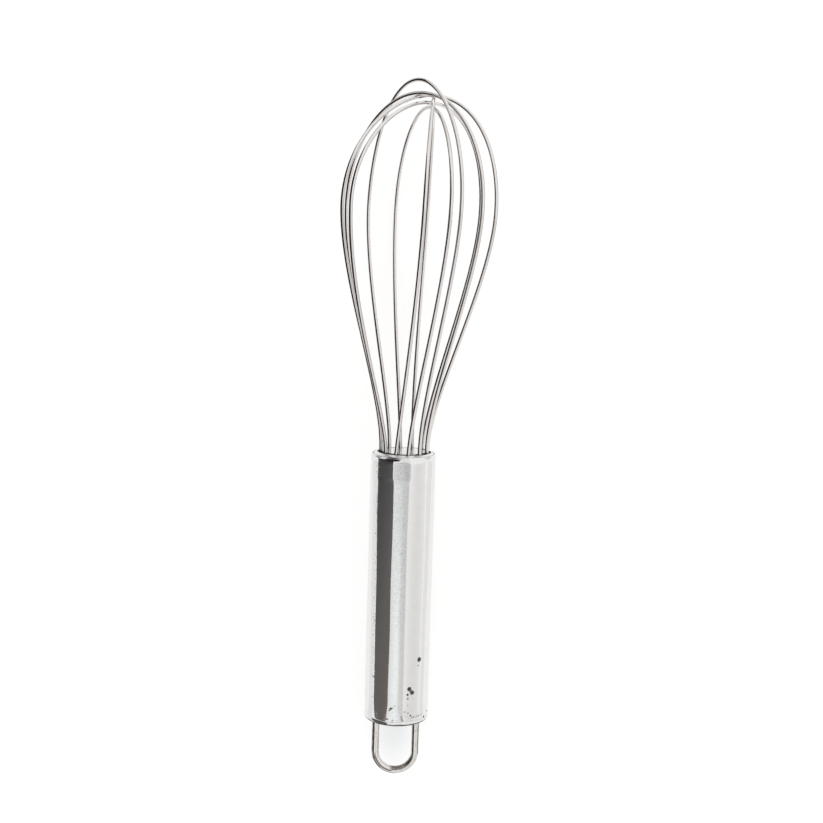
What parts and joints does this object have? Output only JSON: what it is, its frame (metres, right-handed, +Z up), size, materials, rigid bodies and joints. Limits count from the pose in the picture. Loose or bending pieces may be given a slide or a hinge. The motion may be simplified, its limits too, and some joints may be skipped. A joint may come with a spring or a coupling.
{
  "type": "balloon whisk",
  "caption": "Balloon whisk: a polished steel tube handle carries a rounded cage of crossing wires at one end and a fixed hanging loop at the other.",
  "frame": {"origin": "centre of the whisk's footprint, on the surface that it lies on", "axes": "+Z up. +Y along the whisk from the hanging loop to the tip of the cage; lying down, the handle axis climbs towards +Y by 5.8 degrees. +X across, to the right when looking along +Y from above."},
  "size_m": [0.0539, 0.2508, 0.0608],
  "materials": {
    "polished_tube": "mirror-polished stainless steel",
    "polished_cap": "polished stainless steel, lightly worn",
    "loop_wire": "polished drawn steel wire",
    "cage_wire": "polished spring steel wire",
    "plug_steel": "satin pressed steel",
    "plate_steel": "plain pressed steel",
    "weld_metal": "tinted weld bead",
    "sealing_resin": "cast epoxy resin"
  },
  "bodies": {
    "root": {"handle_tube": "polished_tube", "end_cap": "polished_cap", "hanging_loop": "loop_wire", "loop_welds": "weld_metal", "guide_plug": "plug_steel", "resin_seal": "sealing_resin", "tail_plate": "plate_steel", "wire_1": "cage_wire", "wire_2": "cage_wire", "wire_3": "cage_wire", "wire_4": "cage_wire", "wire_5": "cage_wire", "wire_6": "cage_wire"}
  },
  "joints": []
}
